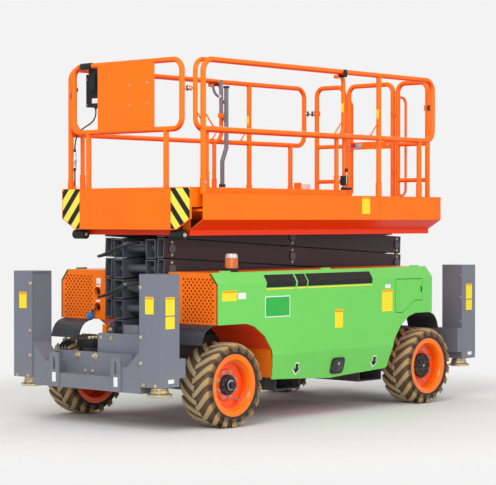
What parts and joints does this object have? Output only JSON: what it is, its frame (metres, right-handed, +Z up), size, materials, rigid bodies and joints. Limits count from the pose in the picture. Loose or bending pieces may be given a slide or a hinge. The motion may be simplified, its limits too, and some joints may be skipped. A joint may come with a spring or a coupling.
{
  "type": "scissor lift",
  "caption": "Self-propelled scissor lift with lugged tyres, levelling outriggers, crossed lifting arms and a railed platform with a roll-out extension deck.",
  "frame": {"origin": "on the floor, at the middle of the length and width over the outriggers and tyres", "axes": "+X forward towards the extension deck, +Y to the left, +Z up"},
  "size_m": [4.16, 1.86, 2.9175],
  "materials": {
    "orange_paint": "gloss",
    "green_paint": "gloss",
    "grey_paint": "satin",
    "dark_paint": "satin",
    "arm_paint": "satin",
    "black_plastic": "matte",
    "tyre_rubber": "matte",
    "black_paint": "satin",
    "rod_chrome": "polished",
    "amber": "gloss"
  },
  "bodies": {
    "chassis": {"chassis_frame": "dark_paint", "side_trays": "orange_paint", "front_grilles": "orange_paint", "battery_packs": "dark_paint", "mud_flaps": "black_plastic", "axles": "dark_paint", "front_beam": "grey_paint", "rear_beam": "grey_paint", "outrigger_boxes": "grey_paint", "ladder": "orange_paint", "beacon_base": "black_plastic", "beacon_lens": "amber"},
    "outrigger_leg_fl": {"leg_fl": "grey_paint"},
    "wheel_fl": {"tyre_fl": "tyre_rubber", "rim_fl": "orange_paint", "hub_fl": "black_paint"},
    "outrigger_leg_fr": {"leg_fr": "grey_paint"},
    "wheel_fr": {"tyre_fr": "tyre_rubber", "rim_fr": "orange_paint", "hub_fr": "black_paint"},
    "outrigger_leg_rl": {"leg_rl": "grey_paint"},
    "wheel_rl": {"tyre_rl": "tyre_rubber", "rim_rl": "orange_paint", "hub_rl": "black_paint"},
    "outrigger_leg_rr": {"leg_rr": "grey_paint"},
    "wheel_rr": {"tyre_rr": "tyre_rubber", "rim_rr": "orange_paint", "hub_rr": "black_paint"},
    "steer_left": {"knuckle_left": "dark_paint"},
    "steer_right": {"knuckle_right": "dark_paint"},
    "left_cover": {"cover_left": "green_paint"},
    "right_cover": {"cover_right": "green_paint"},
    "cover_door": {"access_door": "green_paint"},
    "outer_arms_1": {"outer_1": "arm_paint"},
    "inner_arms_1": {"inner_1": "arm_paint"},
    "outer_arms_2": {"outer_2": "arm_paint"},
    "inner_arms_2": {"inner_2": "arm_paint"},
    "outer_arms_3": {"outer_3": "arm_paint"},
    "inner_arms_3": {"inner_3": "arm_paint", "hose_lower": "black_plastic"},
    "outer_arms_4": {"outer_4": "arm_paint"},
    "inner_arms_4": {"inner_4": "arm_paint"},
    "outer_arms_5": {"outer_5": "arm_paint"},
    "inner_arms_5": {"inner_5": "arm_paint", "hose_upper": "black_plastic"},
    "cylinder_barrel": {"lift_barrel": "black_paint"},
    "cylinder_rod": {"lift_rod": "rod_chrome"},
    "platform": {"platform_deck": "orange_paint", "side_rails": "orange_paint", "rear_rails": "orange_paint"},
    "entry_gate": {"gate": "orange_paint"},
    "extension": {"extension_deck": "orange_paint", "extension_rails": "orange_paint", "front_panel": "orange_paint", "control_box": "black_plastic", "push_handle": "grey_paint", "end_rollers": "black_plastic", "control_cable": "black_plastic"}
  },
  "joints": [
    {"name": "lift", "type": "hinge", "parent": "chassis", "child": "outer_arms_1", "pos_m": [-1.532, 0, 0.743], "axis": [0, -1, 0], "range_deg": [0, 45]},
    {"name": "cross_1", "type": "hinge", "parent": "outer_arms_1", "child": "inner_arms_1", "pos_m": [-0.047, 0, 0.82575], "axis": [0, -1, 0], "range_deg": [-91, 0]},
    {"name": "rear_pin_1", "type": "hinge", "parent": "inner_arms_1", "child": "outer_arms_2", "pos_m": [-1.532, 0, 0.9085], "axis": [0, -1, 0], "range_deg": [0, 91]},
    {"name": "cross_2", "type": "hinge", "parent": "outer_arms_2", "child": "inner_arms_2", "pos_m": [-0.047, 0, 0.99125], "axis": [0, -1, 0], "range_deg": [-91, 0]},
    {"name": "rear_pin_2", "type": "hinge", "parent": "inner_arms_2", "child": "outer_arms_3", "pos_m": [-1.532, 0, 1.074], "axis": [0, -1, 0], "range_deg": [0, 91]},
    {"name": "cross_3", "type": "hinge", "parent": "outer_arms_3", "child": "inner_arms_3", "pos_m": [-0.047, 0, 1.15675], "axis": [0, -1, 0], "range_deg": [-91, 0]},
    {"name": "rear_pin_3", "type": "hinge", "parent": "inner_arms_3", "child": "outer_arms_4", "pos_m": [-1.532, 0, 1.2395], "axis": [0, -1, 0], "range_deg": [0, 91]},
    {"name": "cross_4", "type": "hinge", "parent": "outer_arms_4", "child": "inner_arms_4", "pos_m": [-0.047, 0, 1.32225], "axis": [0, -1, 0], "range_deg": [-91, 0]},
    {"name": "rear_pin_4", "type": "hinge", "parent": "inner_arms_4", "child": "outer_arms_5", "pos_m": [-1.532, 0, 1.405], "axis": [0, -1, 0], "range_deg": [0, 91]},
    {"name": "cross_5", "type": "hinge", "parent": "outer_arms_5", "child": "inner_arms_5", "pos_m": [-0.047, 0, 1.48775], "axis": [0, -1, 0], "range_deg": [-91, 0]},
    {"name": "platform_pin", "type": "hinge", "parent": "inner_arms_5", "child": "platform", "pos_m": [-1.532, 0, 1.5705], "axis": [0, -1, 0], "range_deg": [0, 46]},
    {"name": "cylinder_eye", "type": "hinge", "parent": "inner_arms_2", "child": "cylinder_barrel", "pos_m": [1.2598, 0, 0.91843], "axis": [0, -1, 0], "range_deg": [-16.49, 0]},
    {"name": "cylinder_stroke", "type": "slide", "parent": "cylinder_barrel", "child": "cylinder_rod", "axis": [-0.993, 0, 0.1182], "range_m": [0, 1.9067]},
    {"name": "deck_extension", "type": "slide", "parent": "platform", "child": "extension", "axis": [1, 0, 0], "range_m": [0, 0.9]},
    {"name": "gate_hinge", "type": "hinge", "parent": "platform", "child": "entry_gate", "pos_m": [-1.544, 0.289, 2.3], "axis": [0, 0, 1], "range_deg": [0, 90]},
    {"name": "left_cover_hinge", "type": "hinge", "parent": "chassis", "child": "left_cover", "pos_m": [0.1, 0.825, 1.226], "axis": [1, 0, 0], "range_deg": [0, 75]},
    {"name": "right_cover_hinge", "type": "hinge", "parent": "chassis", "child": "right_cover", "pos_m": [0.1, -0.825, 1.226], "axis": [-1, 0, 0], "range_deg": [0, 75]},
    {"name": "access_door_hinge", "type": "hinge", "parent": "left_cover", "child": "cover_door", "pos_m": [-0.782, 0.909, 0.97], "axis": [0, 0, -1], "range_deg": [0, 110]},
    {"name": "steer_left_pin", "type": "hinge", "parent": "chassis", "child": "steer_left", "pos_m": [1.334, 0.6, 0.335], "axis": [0, 0, 1], "range_deg": [-28, 28]},
    {"name": "steer_right_pin", "type": "hinge", "parent": "chassis", "child": "steer_right", "pos_m": [1.334, -0.6, 0.335], "axis": [0, 0, 1], "range_deg": [-28, 28]},
    {"name": "spin_fl", "type": "hinge", "parent": "steer_left", "child": "wheel_fl", "pos_m": [1.334, 0.785, 0.335], "axis": [0, 1, 0], "continuous": true},
    {"name": "spin_fr", "type": "hinge", "parent": "steer_right", "child": "wheel_fr", "pos_m": [1.334, -0.785, 0.335], "axis": [0, 1, 0], "continuous": true},
    {"name": "spin_rl", "type": "hinge", "parent": "chassis", "child": "wheel_rl", "pos_m": [-1.228, 0.785, 0.335], "axis": [0, 1, 0], "continuous": true},
    {"name": "spin_rr", "type": "hinge", "parent": "chassis", "child": "wheel_rr", "pos_m": [-1.228, -0.785, 0.335], "axis": [0, 1, 0], "continuous": true},
    {"name": "leg_slide_fl", "type": "slide", "parent": "chassis", "child": "outrigger_leg_fl", "axis": [0, 0, -1], "range_m": [0, 0.4]},
    {"name": "leg_slide_fr", "type": "slide", "parent": "chassis", "child": "outrigger_leg_fr", "axis": [0, 0, -1], "range_m": [0, 0.4]},
    {"name": "leg_slide_rl", "type": "slide", "parent": "chassis", "child": "outrigger_leg_rl", "axis": [0, 0, -1], "range_m": [0, 0.4]},
    {"name": "leg_slide_rr", "type": "slide", "parent": "chassis", "child": "outrigger_leg_rr", "axis": [0, 0, -1], "range_m": [0, 0.4]}
  ],
  "couplings": [
    {"joint": "cross_1", "follows": "lift", "ratio": -2},
    {"joint": "rear_pin_1", "follows": "lift", "ratio": 2},
    {"joint": "cross_2", "follows": "lift", "ratio": -2},
    {"joint": "rear_pin_2", "follows": "lift", "ratio": 2},
    {"joint": "cross_3", "follows": "lift", "ratio": -2},
    {"joint": "rear_pin_3", "follows": "lift", "ratio": 2},
    {"joint": "cross_4", "follows": "lift", "ratio": -2},
    {"joint": "rear_pin_4", "follows": "lift", "ratio": 2},
    {"joint": "cross_5", "follows": "lift", "ratio": -2},
    {"joint": "platform_pin", "follows": "lift", "ratio": 1},
    {"joint": "cylinder_eye", "follows": "lift", "ratio": -0.3443},
    {"joint": "cylinder_stroke", "follows": "lift", "m_per_rad": 2.4023},
    {"joint": "steer_right_pin", "follows": "steer_left_pin", "ratio": 1}
  ]
}
